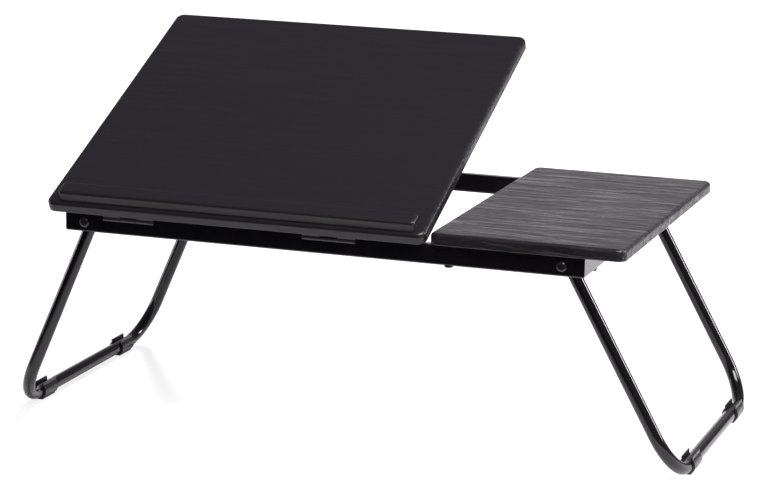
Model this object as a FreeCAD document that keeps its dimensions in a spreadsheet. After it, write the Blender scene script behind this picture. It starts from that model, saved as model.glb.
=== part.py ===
"""Bed tray table: a fixed side board, a tilting board and two folding wire-bent legs.

Millimetres. X runs along the tray, Y from the front edge to the back, Z up.
The origin lies on the floor under the middle of the whole table.
"""
import FreeCAD, Part
import math
import os
import re
import Sketcher

DOC = FreeCAD.newDocument("BedTrayTable")
VECTOR = FreeCAD.Vector

# Driving sizes: name, value, what it is.
SIZES = [
    ("tray_length", 600, "both boards with the gap between them"),
    ("tray_depth", 370, "front edge to back edge"),
    ("tray_height", 234, "floor to the top of the flat board"),
    ("board_thickness", 12, "foil-faced fibre board"),
    ("main_board_length", 402, "tilting board"),
    ("board_gap", 3, "between the two boards"),
    ("board_corner_radius", 9, "corners seen from above"),
    ("board_top_radius", 4, "rounded upper edge"),
    ("board_under_radius", 1.5, "eased lower edge"),
    ("board_overhang_left", 18, "tilting board past the frame"),
    ("board_overhang_right", 40, "side board past the frame"),
    ("board_overhang_front", 5, "both boards past the frame, front and back"),
    ("rail_height", 20, "rectangular tube"),
    ("rail_width", 10, "rectangular tube"),
    ("rail_wall", 1.2, "rectangular tube"),
    ("rail_edge_radius", 2, "rectangular tube"),
    ("leg_diameter", 13, "round tube"),
    ("leg_wall", 1.2, "round tube"),
    ("leg_bend_radius", 45, "tube axis in the two bends"),
    ("left_splay", 23, "degrees from upright"),
    ("right_splay", 29.3, "degrees from upright"),
    ("leg_end_reach", 6, "tube past the pivot"),
    ("leg_rest_gap", 0.3, "open leg to the end rail's edge"),
    ("plug_cap_thickness", 1, "lid of the tube plug"),
    ("plug_depth", 2.5, "stem of the tube plug"),
    ("clip_length", 30, "foot clip along the foot bar"),
    ("clip_wall", 2, "foot clip"),
    ("clip_bend_gap", 0.2, "foot clip to the start of the bend"),
    ("clip_mouth", 84, "degrees left open on top"),
    ("clip_sole_width", 9, "flat under the foot clip"),
    ("clip_sole_rise", 1.6, "thickness of the sole beside the tube"),
    ("clip_lip_height", 3, "turned-up lips beside the mouth"),
    ("bolt_diameter", 6, "leg pivot"),
    ("bolt_head_diameter", 11, "domed head"),
    ("bolt_head_height", 3.4, "domed head"),
    ("bolt_head_round", 3, "domed head"),
    ("bolt_tip", 1, "bolt past its nut"),
    ("pivot_play", 0.05, "turning fits, on the radius"),
    ("bolt_hole_play", 0.1, "bolt in rail and spacer, on the radius"),
    ("spacer_thickness", 5, "between rail and leg"),
    ("spacer_diameter", 12, "between rail and leg"),
    ("leg_side_gap", 0.3, "leg to spacer and to nut"),
    ("nut_flats", 10, "locking nut"),
    ("nut_height", 5, "locking nut"),
    ("tilt_angle", 23.8, "degrees, board as photographed"),
    ("board_lift", 0.3, "closed tilting board above the rails"),
    ("hinge_length", 55, "leaf along the rail"),
    ("hinge_left_inset", 88.5, "board's left edge to first hinge's middle"),
    ("hinge_spacing", 213.5, "between the hinges' middles"),
    ("hinge_leaf", 1.2, "leaf thickness"),
    ("hinge_pin_diameter", 2.6, "pin"),
    ("hinge_knuckle_wall", 1, "rolled knuckle"),
    ("hinge_knuckle_gap", 0.3, "between neighbouring knuckles"),
    ("hinge_rail_gap", 0.3, "knuckle to the rail's front face"),
    ("hinge_board_gap", 2, "knuckle to the board"),
    ("hinge_leaf_gap", 0.5, "between the folded leaves"),
    ("hinge_fixed_width", 9.5, "fixed leaf on the rail"),
    ("hinge_moving_width", 27, "moving leaf under the board"),
    ("hinge_recess_gap", 0.5, "recess round the moving leaf"),
    ("hinge_screw_spread", 36, "between a leaf's two screws"),
    ("ledge_length", 378, "stop strip"),
    ("ledge_height", 11, "stop strip"),
    ("ledge_thickness", 19, "stop strip, front to back"),
    ("ledge_left_inset", 14, "board's left edge to the strip"),
    ("ledge_front_inset", 4, "board's front edge to the strip"),
    ("ledge_top_radius", 3, "rounded upper edge"),
    ("ledge_end_radius", 4, "rounded ends seen from above"),
    ("ledge_screw_gap", 14, "hinge's end to the ledge's outer screw"),
    ("ledge_screw_length", 18, "through the board into the strip"),
    ("wood_screw_diameter", 3.5, "countersunk screws"),
    ("wood_screw_head", 6.5, "countersunk screws"),
    ("leaf_screw_diameter", 3, "hinge screws"),
    ("leaf_screw_head", 5, "hinge screws"),
    ("leaf_screw_length", 8, "hinge and saddle screws"),
    ("side_screw_diameter", 4, "side board screws"),
    ("side_screw_head", 9, "side board screws"),
    ("side_screw_head_height", 2.4, "side board screws"),
    ("side_screw_grip", 8, "length in the side board"),
    ("side_screw_inset", 18, "side board's edge to the first pair"),
    ("side_screw_end_inset", 47, "end rail's pair to the frame's front and back"),
    ("stand_reach", 140, "hinge to the stand's pivot along the board"),
    ("stand_arm", 142, "stand's pivot to its foot"),
    ("stand_foot_drop", 7, "foot below the stand's pivot on the flat board"),
    ("stand_wire", 5, "wire diameter"),
    ("stand_width", 115, "between the arms"),
    ("stand_bend_radius", 8, "wire axis"),
    ("stand_stub", 21, "turned-in end, from the arm's axis"),
    ("stand_middle_inset", 183, "board's left edge to the stand's middle"),
    ("stand_board_gap", 1, "wire to the board's underside"),
    ("saddle_wall", 1.2, "strap over the wire"),
    ("saddle_length", 9, "along the wire"),
    ("saddle_flange", 9, "each side of the strap"),
    ("saddle_arm_inset", 14.5, "arm's axis to the saddle's middle"),
    ("rack_width", 10, "steel strap"),
    ("rack_thickness", 2, "steel strap"),
    ("rack_spacing", 68, "between the two straps"),
    ("rack_tab_height", 14, "end turned down on the rail"),
    ("rack_top_drop", 0.2, "strap below the rails' top"),
    ("rack_shoulder", 25, "high part beside the rails"),
    ("rack_foot_gap", 0.35, "stand's foot to the crests"),
    ("rack_pitch", 10.2, "between the notches"),
    ("rack_crests", 7, "teeth"),
    ("rack_tooth_height", 2, "teeth"),
    ("rack_tooth_base", 6, "teeth"),
    ("rack_tooth_crest", 1.6, "teeth"),
    ("rack_bend_radius", 1.5, "outside of the strap's bends"),
    ("rack_screw_diameter", 4, "strap screws"),
    ("rack_screw_head", 7, "strap screws"),
    ("rack_screw_head_height", 1.4, "strap screws"),
    ("rack_screw_length", 6, "strap screws"),
]

# Values worked out from the sizes: name, expression.
WORKED = [
    ("frame_length", "tray_length - board_overhang_left - board_overhang_right"),
    ("frame_depth", "tray_depth - 2 * board_overhang_front"),
    ("rail_top", "tray_height - board_thickness"),
    ("rail_bottom", "rail_top - rail_height"),
    ("pivot_z", "rail_top - rail_height / 2"),
    ("tray_left", "-frame_length / 2 - board_overhang_left"),
    ("main_right", "tray_left + main_board_length"),
    ("side_left", "main_right + board_gap"),
    ("side_board_length", "tray_length - main_board_length - board_gap"),
    ("rail_inner_y", "frame_depth / 2 - rail_width"),
    ("leg_radius", "leg_diameter / 2"),
    ("leg_plane", "rail_inner_y - spacer_thickness - leg_side_gap - leg_radius"),
    ("foot_z", "leg_radius + clip_wall"),
    ("clip_radius", "leg_radius + clip_wall"),
    ("pivot_drop", "pivot_z - foot_z"),
    ("left_leg_length", "pivot_drop / cos(left_splay * 1deg)"),
    ("right_leg_length", "pivot_drop / cos(right_splay * 1deg)"),
    ("edge_reach", "leg_radius + rail_edge_radius + leg_rest_gap"),
    ("edge_drop", "rail_height / 2 - rail_edge_radius"),
    ("left_inset", "(edge_reach + edge_drop * sin(left_splay * 1deg)) / cos(left_splay * 1deg)"),
    ("right_inset", "(edge_reach + edge_drop * sin(right_splay * 1deg)) / cos(right_splay * 1deg)"),
    ("left_pivot", "-frame_length / 2 + rail_width - rail_edge_radius + left_inset"),
    ("right_pivot", "frame_length / 2 - rail_width + rail_edge_radius - right_inset"),
    ("pivot_spacing", "right_pivot - left_pivot"),
    ("left_foot", "left_pivot - pivot_drop * tan(left_splay * 1deg)"),
    ("right_foot", "right_pivot + pivot_drop * tan(right_splay * 1deg)"),
    ("clip_y", "leg_plane - leg_bend_radius - clip_bend_gap - clip_length / 2"),
    ("knuckle_radius", "hinge_pin_diameter / 2 + hinge_knuckle_wall"),
    ("hinge_y", "-frame_depth / 2 - hinge_rail_gap - knuckle_radius"),
    ("board_base", "hinge_board_gap + knuckle_radius"),
    ("hinge_z", "rail_top + board_lift - board_base"),
    ("board_top", "board_base + board_thickness"),
    ("board_front", "-tray_depth / 2 - hinge_y"),
    ("moving_leaf_base", "rail_top + hinge_leaf + hinge_leaf_gap - hinge_z"),
    ("recess_top", "moving_leaf_base + hinge_leaf"),
    ("hinge_left_x", "tray_left + hinge_left_inset"),
    ("hinge_right_x", "hinge_left_x + hinge_spacing"),
    ("ledge_left", "tray_left + ledge_left_inset"),
    ("ledge_front", "board_front + ledge_front_inset"),
    ("ledge_screw_middle", "(hinge_left_x + hinge_right_x) / 2"),
    ("ledge_screw_spacing", "(hinge_spacing + hinge_length) / 2 + ledge_screw_gap"),
    ("ledge_top", "board_top + ledge_height"),
    ("stand_x", "tray_left + stand_middle_inset"),
    ("saddle_bore", "stand_wire / 2 + pivot_play"),
    ("saddle_radius", "saddle_bore + saddle_wall"),
    ("stand_drop", "board_base - stand_board_gap - stand_wire / 2"),
    ("stand_pivot_y", "hinge_y + stand_reach * cos(tilt_angle * 1deg) - stand_drop * sin(tilt_angle * 1deg)"),
    ("stand_pivot_z", "hinge_z + stand_reach * sin(tilt_angle * 1deg) + stand_drop * cos(tilt_angle * 1deg)"),
    ("stand_angle", "tilt_angle + asin(stand_foot_drop / stand_arm) / 1deg"),
    ("foot_y", "stand_pivot_y + stand_arm * cos(stand_angle * 1deg)"),
    ("stand_foot_z", "stand_pivot_z - stand_arm * sin(stand_angle * 1deg)"),
    ("foot_swing", "stand_reach - sqrt(stand_arm ^ 2 - stand_foot_drop ^ 2)"),
    ("foot_lowest", "hinge_z - sqrt(foot_swing ^ 2 + (stand_drop - stand_foot_drop) ^ 2)"),
    ("rack_crest", "foot_lowest - stand_wire / 2 - rack_foot_gap - rail_top"),
    ("rack_low", "rack_crest - rack_tooth_height"),
    ("rack_high", "-rack_top_drop"),
    ("rack_drop_y", "rail_inner_y - rack_shoulder"),
    ("rack_tab_middle", "rack_high - rack_tab_height / 2"),
    ("rack_left_x", "stand_x - rack_spacing / 2"),
    ("rack_right_x", "stand_x + rack_spacing / 2"),
    ("side_screw_x", "side_left + side_screw_inset"),
    ("end_screw_x", "(frame_length - rail_width) / 2"),
    ("end_screw_y", "frame_depth / 2 - side_screw_end_inset"),
    ("rail_line", "(frame_depth - rail_width) / 2"),
    ("rail_front", "knuckle_radius + hinge_rail_gap"),
    ("fixed_leaf_base", "rail_top - hinge_z"),
    ("fixed_leaf_screw_y", "rail_front + hinge_fixed_width / 2"),
    ("moving_leaf_end", "hinge_moving_width - knuckle_radius"),
    ("moving_leaf_screw_y", "moving_leaf_end - hinge_fixed_width / 2"),
    ("knuckle_half", "hinge_length / 6"),
    ("saddle_x", "stand_width / 2 - saddle_arm_inset"),
    ("saddle_screw_y", "saddle_radius + saddle_flange / 2"),
    ("leaf_sink", "(leaf_screw_head - leaf_screw_diameter) / 2"),
    ("wood_sink", "(wood_screw_head - wood_screw_diameter) / 2"),
    ("bolt_end", "leg_plane - leg_radius - leg_side_gap - nut_height - bolt_tip"),
    ("nut_face", "leg_plane - leg_radius - leg_side_gap"),
    ("nut_corner", "nut_flats / 2 / cos(30deg)"),
    ("tray_front", "hinge_y + (ledge_front + ledge_top_radius) * cos(tilt_angle * 1deg)"
     " - (ledge_top - ledge_top_radius) * sin(tilt_angle * 1deg) - ledge_top_radius"),
    ("middle_x", "(left_foot - clip_radius + right_foot + clip_radius) / 2"),
    ("middle_y", "(tray_front + tray_depth / 2) / 2"),
]


SHEET = DOC.addObject("Spreadsheet::Sheet", "Sizes")
OWNERS = {}
for row, (word, number, note) in enumerate(SIZES, 1):
    SHEET.set("A%d" % row, word)
    SHEET.set("B%d" % row, str(number))
    SHEET.set("C%d" % row, note)
    SHEET.setAlias("B%d" % row, word)
    OWNERS[word] = "Sizes."
DOC.recompute()


def bound(text):
    """Give each named size in an expression its owner's prefix."""
    return re.sub(r"[a-z][a-z_]*[a-z]", lambda word: OWNERS.get(word.group(), "") + word.group(), str(text))


RESULTS = DOC.addObject("App::VarSet", "Worked")
for word, text in WORKED:
    RESULTS.addProperty("App::PropertyFloat", word, "Worked")
    RESULTS.setExpression(word, bound(text))
    OWNERS[word] = "Worked."
DOC.recompute()


def value(text):
    """The number an expression stands for."""
    return float(RESULTS.evalExpression(bound(text)))


def near(first, second):
    return abs(first - second) < 0.01


# ---------------------------------------------------------------- building blocks

BODIES = []
UP = (0, 0, 1)
TILTED = (1, 0, 0)


def start(name, spot, axis=UP, angle="0"):
    """A new sub-part placed at a spot of the table, turned about an axis."""
    body = DOC.addObject("PartDesign::Body", name)
    body.Label = name
    body.Placement = FreeCAD.Placement(VECTOR(0, 0, 0), FreeCAD.Rotation(VECTOR(*axis), 1))
    body.setExpression("Placement.Rotation.Angle", bound(angle))
    body.setExpression("Placement.Base.x", bound("%s - middle_x" % spot[0]))
    body.setExpression("Placement.Base.y", bound("%s - middle_y" % spot[1]))
    body.setExpression("Placement.Base.z", bound(spot[2]))
    BODIES.append(body)
    return body


def on_board(across, along, above):
    """A spot given in the tilted board's own directions from the hinge axis."""
    turn = "(tilt_angle * 1deg)"
    depth = "hinge_y + (%s) * cos%s - (%s) * sin%s" % (along, turn, above, turn)
    height = "hinge_z + (%s) * sin%s + (%s) * cos%s" % (along, turn, above, turn)
    return (across, depth, height)


def origin_part(body, role):
    return [feature for feature in body.Origin.OriginFeatures if feature.Role == role][0]


def sketch(body, role, word, shift="0"):
    drawing = body.newObject("Sketcher::SketchObject", "%s_%s" % (body.Name, word))
    drawing.AttachmentSupport = [(origin_part(body, role), "")]
    drawing.MapMode = "FlatFace"
    drawing.setExpression("AttachmentOffset.Base.z", bound(shift))
    return drawing


def pin_point(drawing, shape, end, spot):
    """Fix a point of a sketch by its two distances from the origin."""
    for kind, text in zip(("DistanceX", "DistanceY"), spot):
        number = drawing.addConstraint(Sketcher.Constraint(kind, -1, 1, shape, end, value(text)))
        drawing.setExpression("Constraints[%d]" % number, bound(text))


def outline(drawing, corners):
    """A closed run of straight edges."""
    spots = [VECTOR(value(across), value(up), 0) for across, up in corners]
    first = drawing.GeometryCount
    count = len(corners)
    for index in range(count):
        drawing.addGeometry(Part.LineSegment(spots[index], spots[(index + 1) % count]))
    for index in range(count):
        following = first + (index + 1) % count
        drawing.addConstraint(Sketcher.Constraint("Coincident", first + index, 2, following, 1))
    for index, corner in enumerate(corners):
        pin_point(drawing, first + index, 1, corner)


def box_outline(drawing, left, right, low, high):
    outline(drawing, [(left, low), (right, low), (right, high), (left, high)])


def ring(drawing, spot, radius):
    centre = VECTOR(value(spot[0]), value(spot[1]), 0)
    shape = drawing.addGeometry(Part.Circle(centre, VECTOR(0, 0, 1), value(radius)))
    pin_point(drawing, shape, 3, spot)
    number = drawing.addConstraint(Sketcher.Constraint("Radius", shape, value(radius)))
    drawing.setExpression("Constraints[%d]" % number, bound(radius))


def pad(body, drawing, length, symmetric=False, flip=False):
    feature = body.newObject("PartDesign::Pad", drawing.Name + "_pad")
    feature.Profile = drawing
    feature.SideType = "Symmetric" if symmetric else "One side"
    feature.Reversed = flip
    feature.setExpression("Length", bound(length))
    DOC.recompute()
    return feature


def pocket(body, drawing, length=None, flip=False, symmetric=False):
    """Cut a sketch out of the body, right through when no length is given."""
    before = body.Shape.Volume
    feature = body.newObject("PartDesign::Pocket", drawing.Name + "_pocket")
    feature.Profile = drawing
    feature.Reversed = flip
    if length is None:
        feature.Type = "ThroughAll"
    else:
        feature.setExpression("Length", bound(length))
    if symmetric or length is None:
        feature.SideType = "Symmetric"
    DOC.recompute()
    if feature.Shape.Volume > before - 0.01:
        raise RuntimeError(feature.Name + " cuts nothing")
    return feature


def revolve(body, drawing, line):
    feature = body.newObject("PartDesign::Revolution", drawing.Name + "_turned")
    feature.Profile = drawing
    feature.ReferenceAxis = (drawing, [line])
    feature.Angle = 360
    DOC.recompute()
    return feature


def dress(body, kind, size, wanted):
    """Round or bevel the edges of the body that are wanted."""
    base = body.Tip
    names = ["Edge%d" % number for number, edge in enumerate(base.Shape.Edges, 1) if wanted(edge)]
    feature = body.newObject("PartDesign::" + kind, "%s_%s" % (base.Name, kind))
    feature.Base = (base, names)
    feature.setExpression("Radius" if kind == "Fillet" else "Size", bound(size))
    DOC.recompute()
    return feature


def repeat(body, role, length, copies="2"):
    """Copies of the whole body in a row along one of its axes."""
    feature = body.newObject("PartDesign::LinearPattern", "%s_row%d" % (body.Name, len(body.Group)))
    feature.TransformMode = "Whole shape"
    feature.Direction = (origin_part(body, role), [""])
    feature.setExpression("Length", bound(length))
    feature.setExpression("Occurrences", bound(copies))
    body.Tip = feature
    DOC.recompute()
    return feature


def mirror(body, role):
    feature = body.newObject("PartDesign::Mirrored", body.Name + "_mirror")
    feature.TransformMode = "Whole shape"
    feature.MirrorPlane = (origin_part(body, role), [""])
    body.Tip = feature
    DOC.recompute()
    return feature


def runs_along(edge, axis):
    """Whether an edge is straight and parallel to one axis."""
    if len(edge.Vertexes) != 2 or not isinstance(edge.Curve, (Part.Line, Part.LineSegment)):
        return False
    way = edge.Vertexes[1].Point - edge.Vertexes[0].Point
    return near(abs(way[axis]), way.Length)


def is_level(edge, height):
    """Whether an edge lies in one level plane."""
    return near(edge.BoundBox.ZMin, height) and near(edge.BoundBox.ZMax, height)


def is_rim(edge, radius, height):
    """Whether an edge is a level circle of one radius."""
    return isinstance(edge.Curve, Part.Circle) and near(edge.Curve.Radius, radius) and is_level(edge, height)


def sunk_screw(name, spot, size, length, up, axis=UP, angle="0"):
    """A countersunk screw whose flat head lies at the spot."""
    body = start(name, spot, axis, angle)
    way = "" if up else "-"
    head, shank, sink = "%s_screw_head / 2" % size, "%s_screw_diameter / 2" % size, "%s_sink" % size
    drawing = sketch(body, "XZ_Plane", "profile")
    outline(drawing, [
        ("0", "0"),
        (head, "0"),
        (shank, way + sink),
        (shank, "%s(%s - %s)" % (way, length, shank)),
        ("0", "%s(%s)" % (way, length)),
    ])
    revolve(body, drawing, "V_Axis")
    return body


def headed_screw(name, spot, size, start_z, end_z):
    """A round-headed screw that points up from its head's seat."""
    body = start(name, spot)
    drawing = sketch(body, "XZ_Plane", "profile")
    outline(drawing, [
        ("0", "-%s_head_height" % size),
        ("%s_head / 2" % size, "-%s_head_height" % size),
        ("%s_head / 2" % size, start_z),
        ("%s_diameter / 2" % size, start_z),
        ("%s_diameter / 2" % size, end_z),
        ("0", end_z),
    ])
    revolve(body, drawing, "V_Axis")
    rim = value("%s_head / 2" % size)
    low = value("-%s_head_height" % size)
    dress(body, "Fillet", "%s_head_height * 0.6" % size, lambda edge: is_rim(edge, rim, low))
    return body


# ---------------------------------------------------------------- frame


def rail_section(drawing, inset):
    wide, tall = "rail_width / 2 - %s" % inset, "rail_height / 2 - %s" % inset
    box_outline(drawing, "-(%s)" % wide, wide, "-(%s)" % tall, tall)


def rail_tube(body, role, axis, length):
    """A rectangular tube along one axis, open from end to end."""
    drawing = sketch(body, role, "section")
    rail_section(drawing, "0")
    pad(body, drawing, length, symmetric=True)
    dress(body, "Fillet", "rail_edge_radius", lambda edge: runs_along(edge, axis))
    drawing = sketch(body, role, "bore")
    rail_section(drawing, "rail_wall")
    pocket(body, drawing)


def mitre(body, end_length, outer, lengthwise):
    """Cut both ends of a rail at 45 degrees, longest on its outer side."""
    drawing = sketch(body, "XY_Plane", "mitre")
    for end in ("1", "-1"):
        far = "%s * (%s / 2 + rail_width)" % (end, end_length)
        near_end = "%s * (%s / 2 - 2 * rail_width)" % (end, end_length)
        outside, inside = "%s * 1.5 * rail_width" % outer, "%s * -1.5 * rail_width" % outer
        corners = [(far, outside), (far, inside), (near_end, inside)]
        if not lengthwise:
            corners = [(up, across) for across, up in corners]
        outline(drawing, corners)
    pocket(body, drawing)


def long_rail(name, side):
    """Front rail for side -1, rear rail for side 1."""
    body = start(name, ("0", "%s * rail_line" % side, "pivot_z"))
    rail_tube(body, "YZ_Plane", 0, "frame_length")
    mitre(body, "frame_length", side, True)
    drawing = sketch(body, "XZ_Plane", "bolt_holes")
    for across in ("left_pivot", "right_pivot"):
        ring(drawing, (across, "0"), "bolt_diameter / 2 + bolt_hole_play")
    pocket(body, drawing)
    drawing = sketch(body, "XY_Plane", "board_screw_hole")
    ring(drawing, ("side_screw_x", "0"), "side_screw_diameter / 2 + bolt_hole_play")
    pocket(body, drawing)
    drawing = sketch(body, "XZ_Plane", "rack_screw_holes")
    for across in ("rack_left_x", "rack_right_x"):
        ring(drawing, (across, "rail_top + rack_tab_middle - pivot_z"), "rack_screw_diameter / 2")
    pocket(body, drawing, "rail_width / 2", flip=(side == "1"))
    return body


def front_rail():
    body = long_rail("front_rail", "-1")
    drawing = sketch(body, "XY_Plane", "hinge_screw_holes", "rail_height / 2")
    for middle in ("hinge_left_x", "hinge_right_x"):
        for way in ("-", "+"):
            across = "%s %s hinge_screw_spread / 2" % (middle, way)
            ring(drawing, (across, "hinge_fixed_width / 2 - rail_width / 2"), "leaf_screw_diameter / 2")
    pocket(body, drawing, "rail_height / 2")


def end_rail(name, side):
    """Left rail for side -1, right rail for side 1."""
    body = start(name, ("%s * (frame_length - rail_width) / 2" % side, "0", "pivot_z"))
    rail_tube(body, "XZ_Plane", 1, "frame_depth")
    mitre(body, "frame_depth", side, False)
    return body


def right_end_rail():
    body = end_rail("right_end_rail", "1")
    drawing = sketch(body, "XY_Plane", "board_screw_holes")
    for depth in ("-end_screw_y", "end_screw_y"):
        ring(drawing, ("0", depth), "side_screw_diameter / 2 + bolt_hole_play")
    pocket(body, drawing)


def side_board_screws():
    """Two screws up through the long rails and two through the right end rail."""
    for name, across, depth in (
        ("side_board_screws", "side_screw_x", "rail_line"),
        ("side_board_end_screws", "end_screw_x", "end_screw_y"),
    ):
        spot = (across, "-" + depth, "rail_bottom")
        body = headed_screw(name, spot, "side_screw", "0", "rail_height + side_screw_grip")
        repeat(body, "Y_Axis", "2 * " + depth)


# ---------------------------------------------------------------- boards


def board_blank(body, left, right, front, low):
    """A board with round corners, a rounded top edge and an eased lower edge."""
    drawing = sketch(body, "XY_Plane", "plan", low)
    box_outline(drawing, left, right, front, "%s + tray_depth" % front)
    pad(body, drawing, "board_thickness")
    dress(body, "Fillet", "board_corner_radius", lambda edge: runs_along(edge, 2))
    top = value("%s + board_thickness" % low)
    dress(body, "Fillet", "board_top_radius", lambda edge: is_level(edge, top))
    bottom = value(low)
    dress(body, "Fillet", "board_under_radius", lambda edge: is_level(edge, bottom))


def side_board():
    body = start("side_board", ("0", "0", "rail_top"))
    board_blank(body, "side_left", "side_left + side_board_length", "-tray_depth / 2", "0")
    drawing = sketch(body, "XY_Plane", "pilot_holes")
    for across, depth in (("side_screw_x", "rail_line"), ("end_screw_x", "end_screw_y")):
        ring(drawing, (across, depth), "side_screw_diameter / 2")
        ring(drawing, (across, "-" + depth), "side_screw_diameter / 2")
    pocket(body, drawing, "side_screw_grip", flip=True)


def main_board():
    body = start("main_board", ("0", "hinge_y", "hinge_z"), TILTED, "tilt_angle")
    board_blank(body, "tray_left", "main_right", "board_front", "board_base")
    half = "(hinge_length / 2 + hinge_recess_gap)"
    drawing = sketch(body, "XY_Plane", "hinge_recess", "board_base")
    for middle in ("hinge_left_x", "hinge_right_x"):
        left, right = "%s - %s" % (middle, half), "%s + %s" % (middle, half)
        near_side = "-(hinge_leaf / 2 + hinge_recess_gap)"
        box_outline(drawing, left, right, near_side, "moving_leaf_end + hinge_recess_gap")
    pocket(body, drawing, "recess_top - board_base", flip=True)
    drawing = sketch(body, "XY_Plane", "hinge_screw_holes", "recess_top")
    for middle in ("hinge_left_x", "hinge_right_x"):
        for way in ("-", "+"):
            across = "%s %s hinge_screw_spread / 2" % (middle, way)
            ring(drawing, (across, "moving_leaf_screw_y"), "leaf_screw_diameter / 2")
    pocket(body, drawing, "leaf_screw_length - hinge_leaf", flip=True)
    drawing = sketch(body, "XY_Plane", "saddle_screw_holes", "board_base")
    for side in ("-", "+"):
        for way in ("-", "+"):
            spot = ("stand_x %s saddle_x" % side, "stand_reach %s saddle_screw_y" % way)
            ring(drawing, spot, "leaf_screw_diameter / 2")
    pocket(body, drawing, "leaf_screw_length - saddle_wall", flip=True)
    drawing = sketch(body, "XY_Plane", "ledge_screw_holes", "board_base")
    for shift in ("- ledge_screw_spacing", "+ 0", "+ ledge_screw_spacing"):
        spot = ("ledge_screw_middle " + shift, "ledge_front + ledge_thickness / 2")
        ring(drawing, spot, "wood_screw_diameter / 2")
    pocket(body, drawing, "board_thickness", flip=True)
    radius, height = value("wood_screw_diameter / 2"), value("board_base")
    dress(body, "Chamfer", "wood_sink", lambda edge: is_rim(edge, radius, height))


def ledge():
    body = start("ledge", ("0", "hinge_y", "hinge_z"), TILTED, "tilt_angle")
    drawing = sketch(body, "XY_Plane", "plan", "board_top")
    right, rear = "ledge_left + ledge_length", "ledge_front + ledge_thickness"
    box_outline(drawing, "ledge_left", right, "ledge_front", rear)
    pad(body, drawing, "ledge_height")
    dress(body, "Fillet", "ledge_end_radius", lambda edge: runs_along(edge, 2))
    top = value("ledge_top")
    dress(body, "Fillet", "ledge_top_radius", lambda edge: is_level(edge, top))
    drawing = sketch(body, "XY_Plane", "pilot_holes", "board_top")
    for shift in ("- ledge_screw_spacing", "+ 0", "+ ledge_screw_spacing"):
        spot = ("ledge_screw_middle " + shift, "ledge_front + ledge_thickness / 2")
        ring(drawing, spot, "wood_screw_diameter / 2")
    pocket(body, drawing, "ledge_screw_length - board_thickness", flip=True)
    spot = on_board("ledge_screw_middle - ledge_screw_spacing", "ledge_front + ledge_thickness / 2", "board_base")
    screws = sunk_screw("ledge_screws", spot, "wood", "ledge_screw_length", True, TILTED, "tilt_angle")
    repeat(screws, "X_Axis", "2 * ledge_screw_spacing", "3")


# ---------------------------------------------------------------- hinges


def fixed_leaf(name, middle):
    """Leaf on the rail's top that turns down to the middle knuckle."""
    body = start(name, (middle, "hinge_y", "hinge_z"))
    top = "fixed_leaf_base + hinge_leaf"
    drawing = sketch(body, "YZ_Plane", "plate")
    box_outline(drawing, "rail_front", "rail_front + hinge_fixed_width", "fixed_leaf_base", top)
    pad(body, drawing, "hinge_length", symmetric=True)
    drawing = sketch(body, "YZ_Plane", "bend")
    inner = "knuckle_radius - hinge_leaf"
    outline(drawing, [
        (inner, "0"),
        ("knuckle_radius", "0"),
        ("knuckle_radius", "fixed_leaf_base"),
        ("rail_front + hinge_leaf", "fixed_leaf_base"),
        ("rail_front + hinge_leaf", top),
        (inner, top),
    ])
    pad(body, drawing, "2 * knuckle_half - hinge_knuckle_gap", symmetric=True)
    drawing = sketch(body, "YZ_Plane", "knuckle")
    ring(drawing, ("0", "0"), "knuckle_radius")
    pad(body, drawing, "2 * knuckle_half - hinge_knuckle_gap", symmetric=True)
    drawing = sketch(body, "YZ_Plane", "pin_bore")
    ring(drawing, ("0", "0"), "hinge_pin_diameter / 2")
    pocket(body, drawing)
    leaf_holes(body, "fixed_leaf_screw_y", top, False)


def moving_leaf(name, middle):
    """Leaf let into the board that turns down to the two outer knuckles."""
    body = start(name, (middle, "hinge_y", "hinge_z"), TILTED, "tilt_angle")
    front = "-hinge_leaf / 2"
    drawing = sketch(body, "YZ_Plane", "section")
    outline(drawing, [
        (front, "0"),
        ("hinge_leaf / 2", "0"),
        ("hinge_leaf / 2", "moving_leaf_base"),
        ("moving_leaf_end", "moving_leaf_base"),
        ("moving_leaf_end", "recess_top"),
        (front, "recess_top"),
    ])
    pad(body, drawing, "hinge_length", symmetric=True)
    drawing = sketch(body, "YZ_Plane", "knuckle")
    ring(drawing, ("0", "0"), "knuckle_radius")
    pad(body, drawing, "hinge_length", symmetric=True)
    drawing = sketch(body, "YZ_Plane", "window")
    reach = "knuckle_radius * 2"
    box_outline(drawing, "-" + reach, reach, "-" + reach, "moving_leaf_base")
    pocket(body, drawing, "2 * knuckle_half + hinge_knuckle_gap", symmetric=True)
    drawing = sketch(body, "YZ_Plane", "pin_bore")
    ring(drawing, ("0", "0"), "hinge_pin_diameter / 2 + pivot_play")
    pocket(body, drawing)
    leaf_holes(body, "moving_leaf_screw_y", "moving_leaf_base", True)


def leaf_holes(body, depth, face, up):
    """Two countersunk holes from a face of a leaf."""
    drawing = sketch(body, "XY_Plane", "screw_holes", face)
    for way in ("-", ""):
        ring(drawing, (way + "hinge_screw_spread / 2", depth), "leaf_screw_diameter / 2")
    pocket(body, drawing, "hinge_leaf", flip=up)
    radius, height = value("leaf_screw_diameter / 2"), value(face)
    dress(body, "Chamfer", "leaf_sink", lambda edge: is_rim(edge, radius, height))


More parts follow.
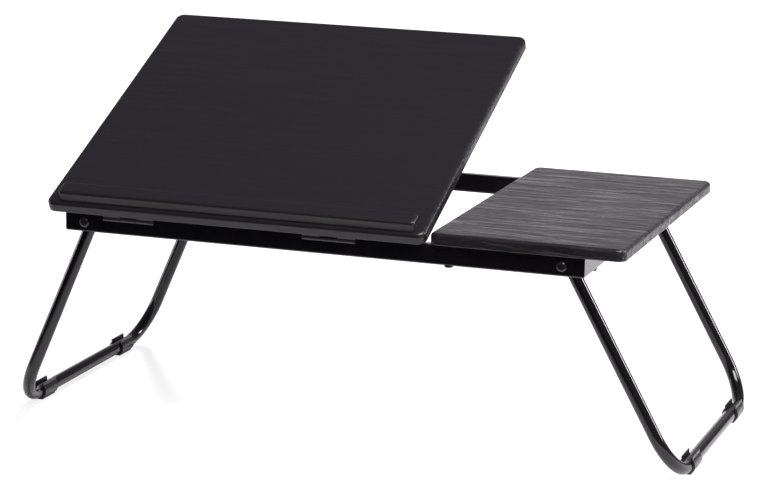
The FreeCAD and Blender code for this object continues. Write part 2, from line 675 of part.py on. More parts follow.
def hinges():
    for word, middle in (("left", "hinge_left_x"), ("right", "hinge_right_x")):
        fixed_leaf("hinge_fixed_leaf_" + word, middle)
        moving_leaf("hinge_moving_leaf_" + word, middle)
    pins = start("hinge_pins", ("hinge_left_x", "hinge_y", "hinge_z"))
    drawing = sketch(pins, "YZ_Plane", "section")
    ring(drawing, ("0", "0"), "hinge_pin_diameter / 2")
    pad(pins, drawing, "hinge_length", symmetric=True)
    repeat(pins, "X_Axis", "hinge_spacing")
    across = "hinge_left_x - hinge_screw_spread / 2"
    spot = (across, "hinge_y + fixed_leaf_screw_y", "rail_top + hinge_leaf")
    screws = sunk_screw("hinge_rail_screws", spot, "leaf", "leaf_screw_length", False)
    repeat(screws, "X_Axis", "hinge_screw_spread")
    repeat(screws, "X_Axis", "hinge_spacing")
    spot = on_board(across, "moving_leaf_screw_y", "moving_leaf_base")
    screws = sunk_screw("hinge_board_screws", spot, "leaf", "leaf_screw_length", True, TILTED, "tilt_angle")
    repeat(screws, "X_Axis", "hinge_screw_spread")
    repeat(screws, "X_Axis", "hinge_spacing")


# ---------------------------------------------------------------- legs


def path(drawing, corners, radius):
    """An open run through corners given as expressions, each corner rounded."""
    spots = [VECTOR(value(across), value(up), 0) for across, up in corners]
    turn = value(radius)
    ends = [spots[0]]
    arcs = []
    for before, corner, after in zip(spots, spots[1:], spots[2:]):
        back = (before - corner).normalize()
        ahead = (after - corner).normalize()
        enter, leave = corner + back * turn, corner + ahead * turn
        centre = corner + back * turn + ahead * turn
        middle = centre + (corner - centre).normalize() * turn
        arcs.append(Part.Arc(enter, middle, leave))
        ends += [enter, leave]
    ends.append(spots[-1])
    edges = 0
    for index in range(0, len(ends), 2):
        drawing.addGeometry(Part.LineSegment(ends[index], ends[index + 1]))
        edges += 1
        if index // 2 < len(arcs):
            drawing.addGeometry(arcs[index // 2])
            edges += 1
    return ["Edge%d" % number for number in range(1, edges + 1)]


def bent_tube(body, section, spine, edges):
    feature = body.newObject("PartDesign::AdditivePipe", body.Name + "_pipe")
    feature.Profile = section
    feature.Spine = (spine, edges)
    DOC.recompute()
    return feature


def leg(word, pivot, foot, length, axis, splay):
    """A tube bent to a U, with its end plugs and the clips on its foot bar."""
    spot = (pivot, "0", "pivot_z")
    body = start(word + "_leg_tube", spot, axis, splay)
    spine = sketch(body, "YZ_Plane", "axis")
    corners = [
        ("-leg_plane", "leg_end_reach"),
        ("-leg_plane", "-" + length),
        ("leg_plane", "-" + length),
        ("leg_plane", "leg_end_reach"),
    ]
    edges = path(spine, corners, "leg_bend_radius")
    section = sketch(body, "XY_Plane", "section", "leg_end_reach")
    ring(section, ("0", "-leg_plane"), "leg_radius")
    ring(section, ("0", "-leg_plane"), "leg_radius - leg_wall")
    bent_tube(body, section, spine, edges)
    drawing = sketch(body, "XZ_Plane", "pivot_holes")
    ring(drawing, ("0", "0"), "bolt_diameter / 2 + pivot_play")
    pocket(body, drawing)
    leg_plugs(word, spot, axis, splay)
    foot_clips(word, foot)


def leg_plugs(word, spot, axis, splay):
    body = start(word + "_leg_end_plugs", spot, axis, splay)
    drawing = sketch(body, "XY_Plane", "cap", "leg_end_reach")
    ring(drawing, ("0", "-leg_plane"), "leg_radius")
    pad(body, drawing, "plug_cap_thickness")
    drawing = sketch(body, "XY_Plane", "stem", "leg_end_reach")
    ring(drawing, ("0", "-leg_plane"), "leg_radius - leg_wall")
    pad(body, drawing, "plug_depth", flip=True)
    radius, top = value("leg_radius"), value("leg_end_reach + plug_cap_thickness")
    dress(body, "Fillet", "plug_cap_thickness * 0.6", lambda edge: is_rim(edge, radius, top))
    repeat(body, "Y_Axis", "2 * leg_plane")


def foot_clips(word, foot):
    """Two saddles round the foot bar, open on top, with a flat sole."""
    body = start(word + "_foot_clips", (foot, "0", "foot_z"))
    drawing = sketch(body, "XZ_Plane", "band", "clip_y")
    ring(drawing, ("0", "0"), "clip_radius")
    ring(drawing, ("0", "0"), "leg_radius")
    pad(body, drawing, "clip_length", symmetric=True)
    drawing = sketch(body, "XZ_Plane", "mouth", "clip_y")
    reach = "clip_radius * 2"
    half = "(clip_mouth / 2 * 1deg)"
    wide, tall = "%s * sin%s" % (reach, half), "%s * cos%s" % (reach, half)
    outline(drawing, [("0", "0"), (wide, tall), ("-" + wide, tall)])
    pocket(body, drawing, "clip_length * 2", symmetric=True)
    drawing = sketch(body, "XZ_Plane", "sole", "clip_y")
    low = "-clip_radius"
    box_outline(drawing, "-clip_sole_width / 2", "clip_sole_width / 2", low, low + " + clip_sole_rise")
    pad(body, drawing, "clip_length", symmetric=True)
    drawing = sketch(body, "XZ_Plane", "lips", "clip_y")
    for way in ("", "-"):
        inner, outer = "%sleg_radius * sin%s" % (way, half), "%sclip_radius * sin%s" % (way, half)
        foot_in, foot_out = "leg_radius * cos%s" % half, "clip_radius * cos%s" % half
        tip = "clip_radius * cos%s + clip_lip_height" % half
        tip_in = "%s(clip_radius * sin%s - clip_wall * 0.4)" % (way, half)
        outline(drawing, [(inner, foot_in), (outer, foot_out), (outer, tip), (tip_in, tip)])
    pad(body, drawing, "clip_length", symmetric=True)
    repeat(body, "Y_Axis", "2 * clip_y")


def pivot_hardware():
    """Bolts, spacers and nuts at the four leg pivots."""
    spot = ("left_pivot", "0", "pivot_z")
    bolts = start("leg_pivot_bolts", spot)
    drawing = sketch(bolts, "XY_Plane", "profile")
    outer, radius, head = "-frame_depth / 2", "bolt_diameter / 2", "bolt_head_diameter / 2"
    tip = outer + " - bolt_head_height"
    outline(drawing, [
        ("0", tip),
        (head, tip),
        (head, outer),
        (radius, outer),
        (radius, "-bolt_end"),
        ("0", "-bolt_end"),
    ])
    revolve(bolts, drawing, "V_Axis")
    edge_y = value(tip)
    dress(bolts, "Fillet", "bolt_head_round", lambda edge: near(edge.BoundBox.YMax, edge_y))
    spacers = start("leg_spacers", spot)
    drawing = sketch(spacers, "XZ_Plane", "section", "rail_inner_y")
    ring(drawing, ("0", "0"), "spacer_diameter / 2")
    ring(drawing, ("0", "0"), "bolt_diameter / 2 + bolt_hole_play")
    pad(spacers, drawing, "spacer_thickness", flip=True)
    nuts = start("leg_lock_nuts", spot)
    drawing = sketch(nuts, "XZ_Plane", "section", "nut_face")
    corners = []
    for index in range(6):
        turn = "(%ddeg)" % (60 * index)
        corners.append(("nut_corner * cos" + turn, "nut_corner * sin" + turn))
    outline(drawing, corners)
    ring(drawing, ("0", "0"), radius)
    pad(nuts, drawing, "nut_height", flip=True)
    for body in (bolts, spacers, nuts):
        repeat(body, "X_Axis", "pivot_spacing")
        mirror(body, "XZ_Plane")


# ---------------------------------------------------------------- stand


def rack(name, across):
    """A steel strap that steps down between the rails and carries the notches."""
    body = start(name, (across, "0", "rail_top"))
    drawing = sketch(body, "YZ_Plane", "strap")
    end, tab_in = "rail_inner_y", "(rail_inner_y - rack_thickness)"
    step, step_in = "rack_drop_y", "(rack_drop_y - rack_thickness)"
    high, high_under = "rack_high", "rack_high - rack_thickness"
    low, low_under = "rack_low", "rack_low - rack_thickness"
    tab = "rack_high - rack_tab_height"
    half = [(step_in, low), (step_in, high), (end, high), (end, tab), (tab_in, tab)]
    half += [(tab_in, high_under), (step, high_under), (step, low_under)]
    front = [("-" + depth, up) for depth, up in reversed(half)]
    outline(drawing, half + front)
    pad(body, drawing, "rack_width", symmetric=True)
    bends = [(end, high), (step_in, high), (step, low_under)]
    bends = [(value(depth), value(up)) for depth, up in bends]
    dress(body, "Fillet", "rack_bend_radius", lambda edge: runs_along(edge, 0) and any(
        near(abs(edge.CenterOfMass.y), depth) and near(edge.CenterOfMass.z, up) for depth, up in bends))
    drawing = sketch(body, "YZ_Plane", "tooth")
    first = "foot_y - rack_crests / 2 * rack_pitch"
    outline(drawing, [
        (first + " - rack_tooth_base / 2", low),
        (first + " + rack_tooth_base / 2", low),
        (first + " + rack_tooth_crest / 2", "rack_crest"),
        (first + " - rack_tooth_crest / 2", "rack_crest"),
    ])
    tooth = pad(body, drawing, "rack_width", symmetric=True)
    row = body.newObject("PartDesign::LinearPattern", name + "_teeth")
    row.Originals = [tooth]
    row.Direction = (drawing, ["H_Axis"])
    row.setExpression("Length", bound("rack_pitch * (rack_crests - 1)"))
    row.setExpression("Occurrences", bound("rack_crests"))
    body.Tip = row
    DOC.recompute()
    drawing = sketch(body, "XZ_Plane", "screw_holes")
    ring(drawing, ("0", "rack_tab_middle"), "rack_screw_diameter / 2")
    pocket(body, drawing)


def rack_screws():
    body = start("rack_screws", ("rack_left_x", "0", "rail_top + rack_tab_middle"))
    drawing = sketch(body, "XY_Plane", "profile")
    seat = "-(rail_inner_y - rack_thickness)"
    head = seat + " + rack_screw_head_height"
    end = seat + " - rack_screw_length"
    outline(drawing, [
        ("0", end),
        ("rack_screw_diameter / 2", end),
        ("rack_screw_diameter / 2", seat),
        ("rack_screw_head / 2", seat),
        ("rack_screw_head / 2", head),
        ("0", head),
    ])
    revolve(body, drawing, "V_Axis")
    repeat(body, "X_Axis", "rack_spacing")
    mirror(body, "XZ_Plane")


def prop_stand():
    """Wire bent to a U whose two ends turn inwards into the saddles."""
    spot = ("stand_x", "stand_pivot_y", "stand_pivot_z")
    body = start("prop_stand", spot, (-1, 0, 0), "stand_angle")
    spine = sketch(body, "XY_Plane", "axis")
    corners = [
        ("-stand_width / 2 + stand_stub", "0"),
        ("-stand_width / 2", "0"),
        ("-stand_width / 2", "stand_arm"),
        ("stand_width / 2", "stand_arm"),
        ("stand_width / 2", "0"),
        ("stand_width / 2 - stand_stub", "0"),
    ]
    edges = path(spine, corners, "stand_bend_radius")
    section = sketch(body, "YZ_Plane", "section", "-stand_width / 2 + stand_stub")
    ring(section, ("0", "0"), "stand_wire / 2")
    bent_tube(body, section, spine, edges)


def stand_saddles():
    """Two straps that hold the stand's ends under the board."""
    body = start("stand_saddles", ("stand_x", "hinge_y", "hinge_z"), TILTED, "tilt_angle")
    centre = ("stand_reach", "stand_drop")
    drawing = sketch(body, "YZ_Plane", "crown", "-saddle_x")
    ring(drawing, centre, "saddle_radius")
    pad(body, drawing, "saddle_length", symmetric=True)
    drawing = sketch(body, "YZ_Plane", "trim", "-saddle_x")
    reach = "2 * saddle_radius"
    left, right = "stand_reach - " + reach, "stand_reach + " + reach
    box_outline(drawing, left, right, "stand_drop", "stand_drop + " + reach)
    pocket(body, drawing, "saddle_length * 2", symmetric=True)
    for word, wide, low in (
        ("sides", "saddle_radius", "stand_drop"),
        ("flanges", "(saddle_radius + saddle_flange)", "board_base - saddle_wall"),
    ):
        drawing = sketch(body, "YZ_Plane", word, "-saddle_x")
        box_outline(drawing, "stand_reach - " + wide, "stand_reach + " + wide, low, "board_base")
        pad(body, drawing, "saddle_length", symmetric=True)
    drawing = sketch(body, "YZ_Plane", "bore", "-saddle_x")
    ring(drawing, centre, "saddle_bore")
    pocket(body, drawing, "saddle_length * 2", symmetric=True)
    drawing = sketch(body, "YZ_Plane", "slot", "-saddle_x")
    box_outline(drawing, "stand_reach - saddle_bore", "stand_reach + saddle_bore", "stand_drop", "board_base")
    pocket(body, drawing, "saddle_length * 2", symmetric=True)
    drawing = sketch(body, "XY_Plane", "screw_holes", "board_base - saddle_wall")
    for way in ("-", "+"):
        ring(drawing, ("-saddle_x", "stand_reach %s saddle_screw_y" % way), "leaf_screw_diameter / 2")
    pocket(body, drawing, "saddle_wall", flip=True)
    radius, height = value("leaf_screw_diameter / 2"), value("board_base - saddle_wall")
    dress(body, "Chamfer", "leaf_sink", lambda edge: is_rim(edge, radius, height))
    repeat(body, "X_Axis", "2 * saddle_x")
    spot = on_board("stand_x - saddle_x", "stand_reach - saddle_screw_y", "board_base - saddle_wall")
    screws = sunk_screw("stand_saddle_screws", spot, "leaf", "leaf_screw_length", True, TILTED, "tilt_angle")
    repeat(screws, "X_Axis", "2 * saddle_x")
    repeat(screws, "Y_Axis", "2 * saddle_screw_y")


# ---------------------------------------------------------------- whole table

front_rail()
long_rail("rear_rail", "1")
end_rail("left_end_rail", "-1")
right_end_rail()
side_board()
side_board_screws()
main_board()
ledge()
hinges()
leg("left", "left_pivot", "left_foot", "left_leg_length", (0, 1, 0), "left_splay")
leg("right", "right_pivot", "right_foot", "right_leg_length", (0, -1, 0), "right_splay")
pivot_hardware()
rack("rack_left", "rack_left_x")
rack("rack_right", "rack_right_x")
rack_screws()
prop_stand()
stand_saddles()

DOC.recompute()
for item in DOC.Objects:
    if "Invalid" in item.State or "Error" in item.State:
        raise RuntimeError("%s did not compute" % item.Name)
os.makedirs("parts", exist_ok=True)
for body in BODIES:
    if body.Shape.isNull() or not body.Shape.isValid():
        raise RuntimeError("%s has no valid shape" % body.Label)
    body.Shape.exportStep("parts/%s.step" % body.Label)
    print("%-26s solids %d  volume %.1f" % (body.Label, len(body.Shape.Solids), body.Shape.Volume))
whole = Part.makeCompound([body.Shape for body in BODIES]).optimalBoundingBox(False)
print("box", [round(number, 2) for number in (whole.XMin, whole.XMax, whole.YMin, whole.YMax, whole.ZMin, whole.ZMax)])
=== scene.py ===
"""Looks of the bed tray table: finishes, studio floor, lights and camera.

Metres. X runs along the tray, Y from the front edge to the back, Z up.
"""

import math

import bmesh
import bpy
from mathutils import Matrix, Vector

# Camera, as the photograph was taken: metres, degrees and pixels.
CAMERA_SPOT = (0.918256, -2.680937, 0.806627)
CAMERA_TURN = 18.9991
CAMERA_DROP = 12.555
CAMERA_ROLL = 1.0226
FOCAL_PIXELS = 2794.1
PHOTO_WIDTH = 768
SENSOR = 36.0
CLIP_NEAR = 0.05
CLIP_FAR = 100

# The tilting board at rest, in degrees.
BOARD_TILT = 23.8

# Boards' grain: waves per metre along and across, sideways drift in metres,
# and the part of the streaks (the rest is fibres) in height and in tone.
DRIFT_PACE = (5.0, 9.0, 9.0)
STREAKS_ALONG = 12.0
FIBRES_ALONG = 30.0
STREAKS_ACROSS = 95.0
FIBRES_ACROSS = 430.0
BOARD_WAVER = 0.016
GRAIN_CUT = (0.32, 0.68)
HEIGHT_SHARE = 0.85
TONE_SHARE = 0.6
LEDGE_STREAKS_ACROSS = 220.0
LEDGE_FIBRES_ACROSS = 420.0
LEDGE_WAVER = 0.004

# How far moulded plastic strays from its level, to both sides.
PLASTIC_SPREAD = 0.2

# Paper floor: how light it is to the lamps and by itself, in mirror images and
# to the camera, and where it fades in front of the table.
FLOOR_HALF = 30.0
FLOOR_COLOUR = 0.55
FLOOR_SEEN_COLOUR = 0.16
FLOOR_GLOW = 0.10
FLOOR_NEAR_GLOW = 0.725
FLOOR_FAR_GLOW = 1.0
FLOOR_NEAR = 0.55
FLOOR_FAR = 1.2
FRONT_FADE_START = -0.28
FRONT_FADE_END = -0.60
FRONT_LEVEL = 0.035

# Sky: its two levels, and the directions between which it turns bright.
SKY_BRIGHT = 1.05
SKY_DIM = 0.155
SKY_BACK = (-0.20, 0.45)
SKY_LOW = (0.08, 0.48)
SKY_LEFT = (-0.10, 0.25)

LAMP_TINT = (1.02, 0.98, 1.03)

# Carried-over parts by finish; the rest are zinc-plated steel.
FRAME_BLACK = ("front_rail", "rear_rail", "left_end_rail", "right_end_rail",
               "left_leg_tube", "right_leg_tube")
BOLT_BLACK = ("leg_pivot_bolts", "side_board_screws", "side_board_end_screws")
HINGE_BLACK = ("hinge_fixed_leaf_left", "hinge_fixed_leaf_right", "hinge_moving_leaf_left",
               "hinge_moving_leaf_right", "hinge_pins")
CLIP_PLASTIC = ("left_foot_clips", "right_foot_clips")
PLUG_PLASTIC = ("left_leg_end_plugs", "right_leg_end_plugs", "leg_spacers")


# ---------------------------------------------------------------- node helpers


def put(tree, kind, settings, inputs):
    """A shader node with its settings made and its inputs set or linked."""
    made = tree.nodes.new("ShaderNode" + kind)
    for word, chosen in settings.items():
        setattr(made, word, chosen)
    for word, source in inputs.items():
        if isinstance(source, bpy.types.NodeSocket):
            tree.links.new(source, made.inputs[word])
        else:
            made.inputs[word].default_value = source
    return made


def reckon(tree, operation, first, second):
    """Arithmetic on two numbers."""
    return put(tree, "Math", {"operation": operation}, {0: first, 1: second}).outputs[0]


def weigh(tree, first, second, share):
    """Two numbers mixed, the first by its share."""
    part = reckon(tree, "MULTIPLY", first, share)
    rest = reckon(tree, "MULTIPLY", second, 1 - share)
    return reckon(tree, "ADD", part, rest)


def stretch(tree, source, given, wanted, way):
    """A value taken from one range to another."""
    return put(tree, "MapRange", {"interpolation_type": way}, {
        "Value": source,
        "From Min": given[0],
        "From Max": given[1],
        "To Min": wanted[0],
        "To Max": wanted[1],
    }).outputs["Result"]


def spread(tree, mask, low, high):
    """A mask from 0 to 1 as a value between two levels."""
    return stretch(tree, mask, (0.0, 1.0), (low, high), "LINEAR")


def ease(tree, source, ends, start=0.0, end=1.0):
    """A smooth step between two levels, where the source runs between its ends."""
    return stretch(tree, source, ends, (start, end), "SMOOTHSTEP")


def tint(tree, mask, dark, light):
    """A colour between two, by a mask."""
    ramp = put(tree, "ValToRGB", {}, {"Fac": mask})
    ramp.color_ramp.elements[0].color = dark
    ramp.color_ramp.elements[1].color = light
    return ramp.outputs["Color"]


def grey(level, warmth=0.0):
    """A near-neutral colour."""
    return (level * (1 + warmth), level, level * (1 - warmth), 1)


def violet_black(level):
    """The faintly violet black of the foil and the paint."""
    return (level * 1.10, level * 0.93, level * 1.28, 1)


def new_effect(name, inputs, outputs):
    """An empty shader node group with named sockets."""
    group = bpy.data.node_groups.new(name, "ShaderNodeTree")
    for word, kind, standard in inputs:
        socket = group.interface.new_socket(word, in_out="INPUT", socket_type=kind)
        if standard is not None:
            socket.default_value = standard
    for word in outputs:
        group.interface.new_socket(word, in_out="OUTPUT", socket_type="NodeSocketFloat")
    return group, group.nodes.new("NodeGroupInput").outputs, group.nodes.new("NodeGroupOutput").inputs


def use_effect(tree, group, inputs):
    """A group placed in a material with its own values."""
    return put(tree, "Group", {"node_tree": group}, inputs).outputs


# ---------------------------------------------------------------- shared effects


def make_pressed_grain():
    """Long wavering streaks pressed into the boards' foil, along X."""
    group, given, wanted = new_effect("pressed_grain", (
        ("Vector", "NodeSocketVector", None),
        ("Streaks across", "NodeSocketFloat", STREAKS_ACROSS),
        ("Fibres across", "NodeSocketFloat", FIBRES_ACROSS),
        ("Waver", "NodeSocketFloat", BOARD_WAVER),
    ), ("Streaks", "Fibres", "Height"))
    slow = put(group, "VectorMath", {"operation": "MULTIPLY"}, {0: given["Vector"], 1: DRIFT_PACE})
    drift = put(group, "TexNoise", {}, {"Vector": slow.outputs[0], "Scale": 1.0, "Detail": 2.0})
    shift = reckon(group, "MULTIPLY", spread(group, drift.outputs["Fac"], -1, 1), given["Waver"])
    parts = put(group, "SeparateXYZ", {}, {0: given["Vector"]})
    across = reckon(group, "ADD", parts.outputs["Y"], shift)
    bands = []
    for word, along, detail in (("Streaks", STREAKS_ALONG, 4.0), ("Fibres", FIBRES_ALONG, 2.0)):
        count = given[word + " across"]
        place = put(group, "CombineXYZ", {}, {
            "X": reckon(group, "MULTIPLY", parts.outputs["X"], along),
            "Y": reckon(group, "MULTIPLY", across, count),
            "Z": reckon(group, "MULTIPLY", parts.outputs["Z"], count),
        })
        noise = put(group, "TexNoise", {}, {
            "Vector": place.outputs[0],
            "Scale": 1.0,
            "Detail": detail,
            "Roughness": 0.6,
        })
        band = ease(group, noise.outputs["Fac"], GRAIN_CUT)
        group.links.new(band, wanted[word])
        bands.append(band)
    group.links.new(weigh(group, *bands, HEIGHT_SHARE), wanted["Height"])
    return group


def make_fine_skin():
    """The small unevenness of paint, plating and moulded plastic."""
    group, given, wanted = new_effect("fine_skin", (
        ("Vector", "NodeSocketVector", None),
        ("Peel size", "NodeSocketFloat", 900.0),
        ("Blotch size", "NodeSocketFloat", 60.0),
    ), ("Peel", "Blotches"))
    for word, size, detail in (("Peel", "Peel size", 1.0), ("Blotches", "Blotch size", 3.0)):
        noise = put(group, "TexNoise", {}, {
            "Vector": given["Vector"],
            "Scale": given[size],
            "Detail": detail,
            "Roughness": 0.5,
        })
        group.links.new(ease(group, noise.outputs["Fac"], (0.3, 0.7)), wanted[word])
    return group


GRAIN = make_pressed_grain()
SKIN = make_fine_skin()


# ---------------------------------------------------------------- finishes


def new_finish(name):
    """A material with an empty tree, and its own place as a vector."""
    material = bpy.data.materials.new(name)
    material.use_nodes = True
    tree = material.node_tree
    tree.nodes.clear()
    return material, tree, put(tree, "TexCoord", {}, {}).outputs["Object"]


def surface(tree, inputs):
    """The material's one glossy surface."""
    shader = put(tree, "BsdfPrincipled", {}, inputs)
    put(tree, "OutputMaterial", {}, {"Surface": shader.outputs[0]})


def relief(tree, height, depth):
    """The normal of a surface raised by a height, to a depth in metres."""
    return put(tree, "Bump", {}, {"Height": height, "Distance": depth, "Strength": 1.0}).outputs["Normal"]


def laid_flat(tree, place, tilt):
    """A place on a tilted board, as if the board lay flat."""
    return put(tree, "Mapping", {}, {"Vector": place, "Rotation": (math.radians(-tilt), 0, 0)}).outputs[0]


def board_foil(name, tilt, depth):
    """Black foil with an embossed wood grain, on a board at some tilt."""
    material, tree, place = new_finish(name)
    grain = use_effect(tree, GRAIN, {
        "Vector": laid_flat(tree, place, tilt),
        "Streaks across": STREAKS_ACROSS,
        "Fibres across": FIBRES_ACROSS,
        "Waver": BOARD_WAVER,
    })
    tone = weigh(tree, grain["Streaks"], grain["Fibres"], TONE_SHARE)
    surface(tree, {
        "Base Color": tint(tree, tone, violet_black(0.0055), violet_black(0.0085)),
        "Roughness": spread(tree, tone, 0.46, 0.24),
        "Specular IOR Level": 0.5,
        "Normal": relief(tree, grain["Height"], depth),
    })
    return material


def ledge_black():
    """Satin black strip with a faint grain along it."""
    material, tree, place = new_finish("ledge_black")
    grain = use_effect(tree, GRAIN, {
        "Vector": laid_flat(tree, place, BOARD_TILT),
        "Streaks across": LEDGE_STREAKS_ACROSS,
        "Fibres across": LEDGE_FIBRES_ACROSS,
        "Waver": LEDGE_WAVER,
    })
    surface(tree, {
        "Base Color": tint(tree, grain["Streaks"], violet_black(0.005), violet_black(0.007)),
        "Roughness": spread(tree, grain["Streaks"], 0.46, 0.36),
        "Specular IOR Level": 0.5,
        "Normal": relief(tree, grain["Height"], 0.00004),
    })
    return material


def painted(name, dark, light, smooth, rough, peel):
    """Black paint on steel, glossy or satin."""
    material, tree, place = new_finish(name)
    skin = use_effect(tree, SKIN, {"Vector": place, "Peel size": 650.0, "Blotch size": 45.0})
    surface(tree, {
        "Base Color": tint(tree, skin["Blotches"], violet_black(dark), violet_black(light)),
        "Roughness": spread(tree, skin["Blotches"], smooth, rough),
        "Specular IOR Level": 0.5,
        "Normal": relief(tree, skin["Peel"], peel),
    })
    return material


def plated(name, dark, light, smooth, rough):
    """Bare zinc-plated or bright steel."""
    material, tree, place = new_finish(name)
    skin = use_effect(tree, SKIN, {"Vector": place, "Peel size": 1400.0, "Blotch size": 160.0})
    surface(tree, {
        "Base Color": tint(tree, skin["Blotches"], grey(dark, 0.01), grey(light, 0.02)),
        "Metallic": 1.0,
        "Roughness": spread(tree, skin["Blotches"], smooth, rough),
        "Normal": relief(tree, skin["Peel"], 0.00001),
    })
    return material


def moulded(name, level, smooth, rough):
    """Black moulded plastic."""
    material, tree, place = new_finish(name)
    skin = use_effect(tree, SKIN, {"Vector": place, "Peel size": 1600.0, "Blotch size": 120.0})
    dark, light = level * (1 - PLASTIC_SPREAD), level * (1 + PLASTIC_SPREAD)
    surface(tree, {
        "Base Color": tint(tree, skin["Blotches"], grey(dark), grey(light)),
        "Roughness": spread(tree, skin["Blotches"], smooth, rough),
        "Specular IOR Level": 0.5,
        "Normal": relief(tree, skin["Peel"], 0.00002),
    })
    return material


def dress_nodes(nodes):
    """Give every carried-over part its finish."""
    finishes = {
        "main_board": board_foil("main_board_foil", BOARD_TILT, depth=0.00012),
        "side_board": board_foil("side_board_foil", 0.0, depth=0.0010),
        "ledge": ledge_black(),
        "prop_stand": plated("bright_wire", dark=0.60, light=0.70, smooth=0.10, rough=0.18),
    }
    frame_paint = painted("frame_black", dark=0.003, light=0.0045, smooth=0.10, rough=0.15, peel=0.000006)
    bolt_paint = painted("bolt_black", dark=0.006, light=0.010, smooth=0.16, rough=0.24, peel=0.000010)
    hinge_paint = painted("hinge_black", dark=0.020, light=0.030, smooth=0.28, rough=0.38, peel=0.000010)
    clip = moulded("clip_plastic", level=0.010, smooth=0.26, rough=0.36)
    plug = moulded("plug_plastic", level=0.012, smooth=0.45, rough=0.60)
    for finish, names in ((frame_paint, FRAME_BLACK), (bolt_paint, BOLT_BLACK), (hinge_paint, HINGE_BLACK),
                          (clip, CLIP_PLASTIC), (plug, PLUG_PLASTIC)):
        for name in names:
            finishes[name] = finish
    zinc = plated("zinc_steel", dark=0.42, light=0.58, smooth=0.24, rough=0.40)
    for name, node in nodes.items():
        node.data.materials.clear()
        node.data.materials.append(finishes.get(name, zinc))


# ---------------------------------------------------------------- studio


def studio_floor():
    """Paper that the camera sees white, and that darkens in front in mirror images."""
    mesh = bpy.data.meshes.new("floor")
    shape = bmesh.new()
    bmesh.ops.create_grid(shape, x_segments=1, y_segments=1, size=FLOOR_HALF)
    shape.to_mesh(mesh)
    shape.free()
    floor = bpy.data.objects.new("floor", mesh)
    bpy.context.scene.collection.objects.link(floor)
    material, tree, place = new_finish("floor_paper")
    depth = put(tree, "SeparateXYZ", {}, {0: place}).outputs["Y"]
    fade = ease(tree, depth, (FRONT_FADE_END, FRONT_FADE_START), FRONT_LEVEL, 1.0)
    seen = put(tree, "LightPath", {}, {}).outputs["Is Camera Ray"]
    level = reckon(tree, "MAXIMUM", fade, seen)
    paper = reckon(tree, "MULTIPLY", level, spread(tree, seen, FLOOR_COLOUR, FLOOR_SEEN_COLOUR))
    reach = put(tree, "VectorMath", {"operation": "LENGTH"}, {0: place}).outputs["Value"]
    own = reckon(tree, "MULTIPLY", fade, FLOOR_GLOW)
    shown = ease(tree, reach, (FLOOR_NEAR, FLOOR_FAR), FLOOR_NEAR_GLOW, FLOOR_FAR_GLOW)
    glow = put(tree, "Emission", {}, {
        "Strength": reckon(tree, "ADD", own, reckon(tree, "MULTIPLY", seen, shown)),
    })
    shade = put(tree, "BsdfDiffuse", {}, {"Color": tint(tree, paper, grey(0.0), grey(1.0))})
    both = put(tree, "AddShader", {}, {0: glow.outputs[0], 1: shade.outputs[0]})
    put(tree, "OutputMaterial", {}, {"Surface": both.outputs[0]})
    mesh.materials.append(material)


def studio_sky():
    """White to the camera, and in mirror images bright only low at the back left."""
    world = bpy.data.worlds.new("studio")
    bpy.context.scene.world = world
    world.use_nodes = True
    tree = world.node_tree
    tree.nodes.clear()
    way = put(tree, "SeparateXYZ", {}, {0: put(tree, "TexCoord", {}, {}).outputs["Generated"]}).outputs
    back = ease(tree, way["Y"], SKY_BACK)
    low = ease(tree, way["Z"], SKY_LOW, 1.0, 0.0)
    left = ease(tree, way["X"], SKY_LEFT, 1.0, 0.0)
    bright = reckon(tree, "MULTIPLY", reckon(tree, "MULTIPLY", back, low), left)
    level = spread(tree, bright, SKY_DIM, SKY_BRIGHT)
    seen = put(tree, "LightPath", {}, {}).outputs["Is Camera Ray"]
    sky = put(tree, "Background", {}, {
        "Color": tint(tree, seen, (*LAMP_TINT, 1), grey(1.0)),
        "Strength": reckon(tree, "MAXIMUM", level, seen),
    })
    put(tree, "OutputWorld", {}, {"Surface": sky.outputs[0]})


def softbox(name, spot, target, wide, tall, power, mirrored=True):
    """A rectangular lamp aimed at a point, hidden from the camera."""
    lamp = bpy.data.lights.new(name, "AREA")
    lamp.shape = "RECTANGLE"
    lamp.size = wide
    lamp.size_y = tall
    lamp.energy = power
    lamp.color = LAMP_TINT
    box = bpy.data.objects.new(name, lamp)
    bpy.context.scene.collection.objects.link(box)
    box.location = spot
    aim = Vector(target) - Vector(spot)
    box.rotation_mode = "QUATERNION"
    box.rotation_quaternion = aim.to_track_quat("-Z", "Y")
    box.visible_camera = False
    box.visible_glossy = mirrored
    return box


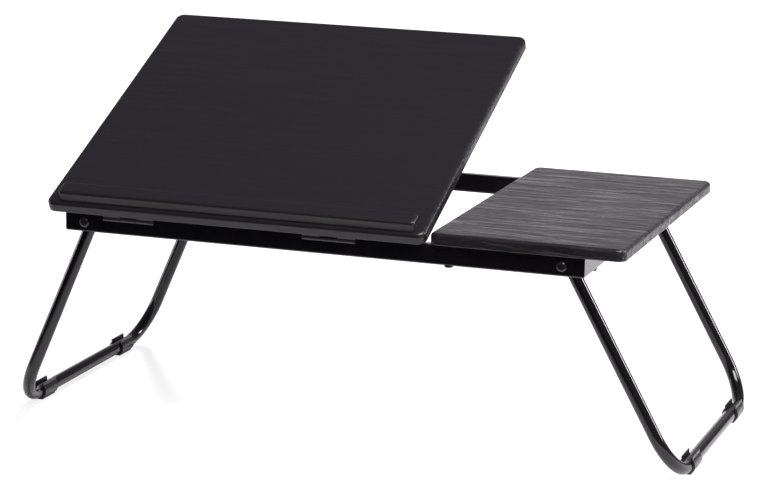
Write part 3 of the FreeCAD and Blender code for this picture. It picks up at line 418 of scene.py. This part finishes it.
def studio_lamps(nodes):
    """Soft boxes, and a lamp behind that shades the floor with the left leg alone."""
    softbox("top_softbox", (1.15, -0.9, 2.3), (0.0, 0.1, 0.0), wide=1.6, tall=1.2, power=90)
    softbox("right_softbox", (2.14, 0.97, 1.09), (0.0, 0.0, 0.15), wide=0.5, tall=0.9, power=30)
    softbox("left_softbox", (-2.2, 0.0, 0.27), (0.0, 0.0, 0.2), wide=0.8, tall=0.35, power=3)
    back = softbox("back_lamp", (-0.62, 1.85, 1.75), (-0.3, 0.0, 0.0), wide=0.22, tall=0.22, power=105,
                   mirrored=False)
    casting = bpy.data.collections.new("foot_shadow")
    for name in ("left_leg_tube", "left_foot_clips"):
        casting.objects.link(nodes[name])
    back.light_linking.blocker_collection = casting


def camera():
    """The camera at the photograph's place, turned, dropped and rolled."""
    turn, drop, roll = (math.radians(angle) for angle in (CAMERA_TURN, CAMERA_DROP, CAMERA_ROLL))
    ahead = Vector((-math.sin(turn) * math.cos(drop), math.cos(turn) * math.cos(drop), -math.sin(drop)))
    right = ahead.cross(Vector((0, 0, 1))).normalized()
    up = right.cross(ahead)
    rolled_right = right * math.cos(roll) + up * math.sin(roll)
    rolled_up = up * math.cos(roll) - right * math.sin(roll)
    lens = bpy.data.cameras.new("camera")
    lens.sensor_width = SENSOR
    lens.lens = FOCAL_PIXELS * SENSOR / PHOTO_WIDTH
    lens.clip_start = CLIP_NEAR
    lens.clip_end = CLIP_FAR
    made = bpy.data.objects.new("camera", lens)
    bpy.context.scene.collection.objects.link(made)
    pose = Matrix((rolled_right, rolled_up, -ahead)).transposed().to_4x4()
    pose.translation = Vector(CAMERA_SPOT)
    made.matrix_world = pose
    bpy.context.scene.camera = made


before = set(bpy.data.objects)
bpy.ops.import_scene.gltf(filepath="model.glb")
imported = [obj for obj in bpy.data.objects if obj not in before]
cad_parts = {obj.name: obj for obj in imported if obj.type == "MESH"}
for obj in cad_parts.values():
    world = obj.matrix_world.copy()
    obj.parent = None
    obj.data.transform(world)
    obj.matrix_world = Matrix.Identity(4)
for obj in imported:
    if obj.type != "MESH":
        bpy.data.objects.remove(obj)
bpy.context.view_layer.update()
dress_nodes(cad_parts)
studio_floor()
studio_sky()
studio_lamps(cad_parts)
camera()
bpy.context.scene.view_settings.view_transform = "Standard"
bpy.context.view_layer.update()
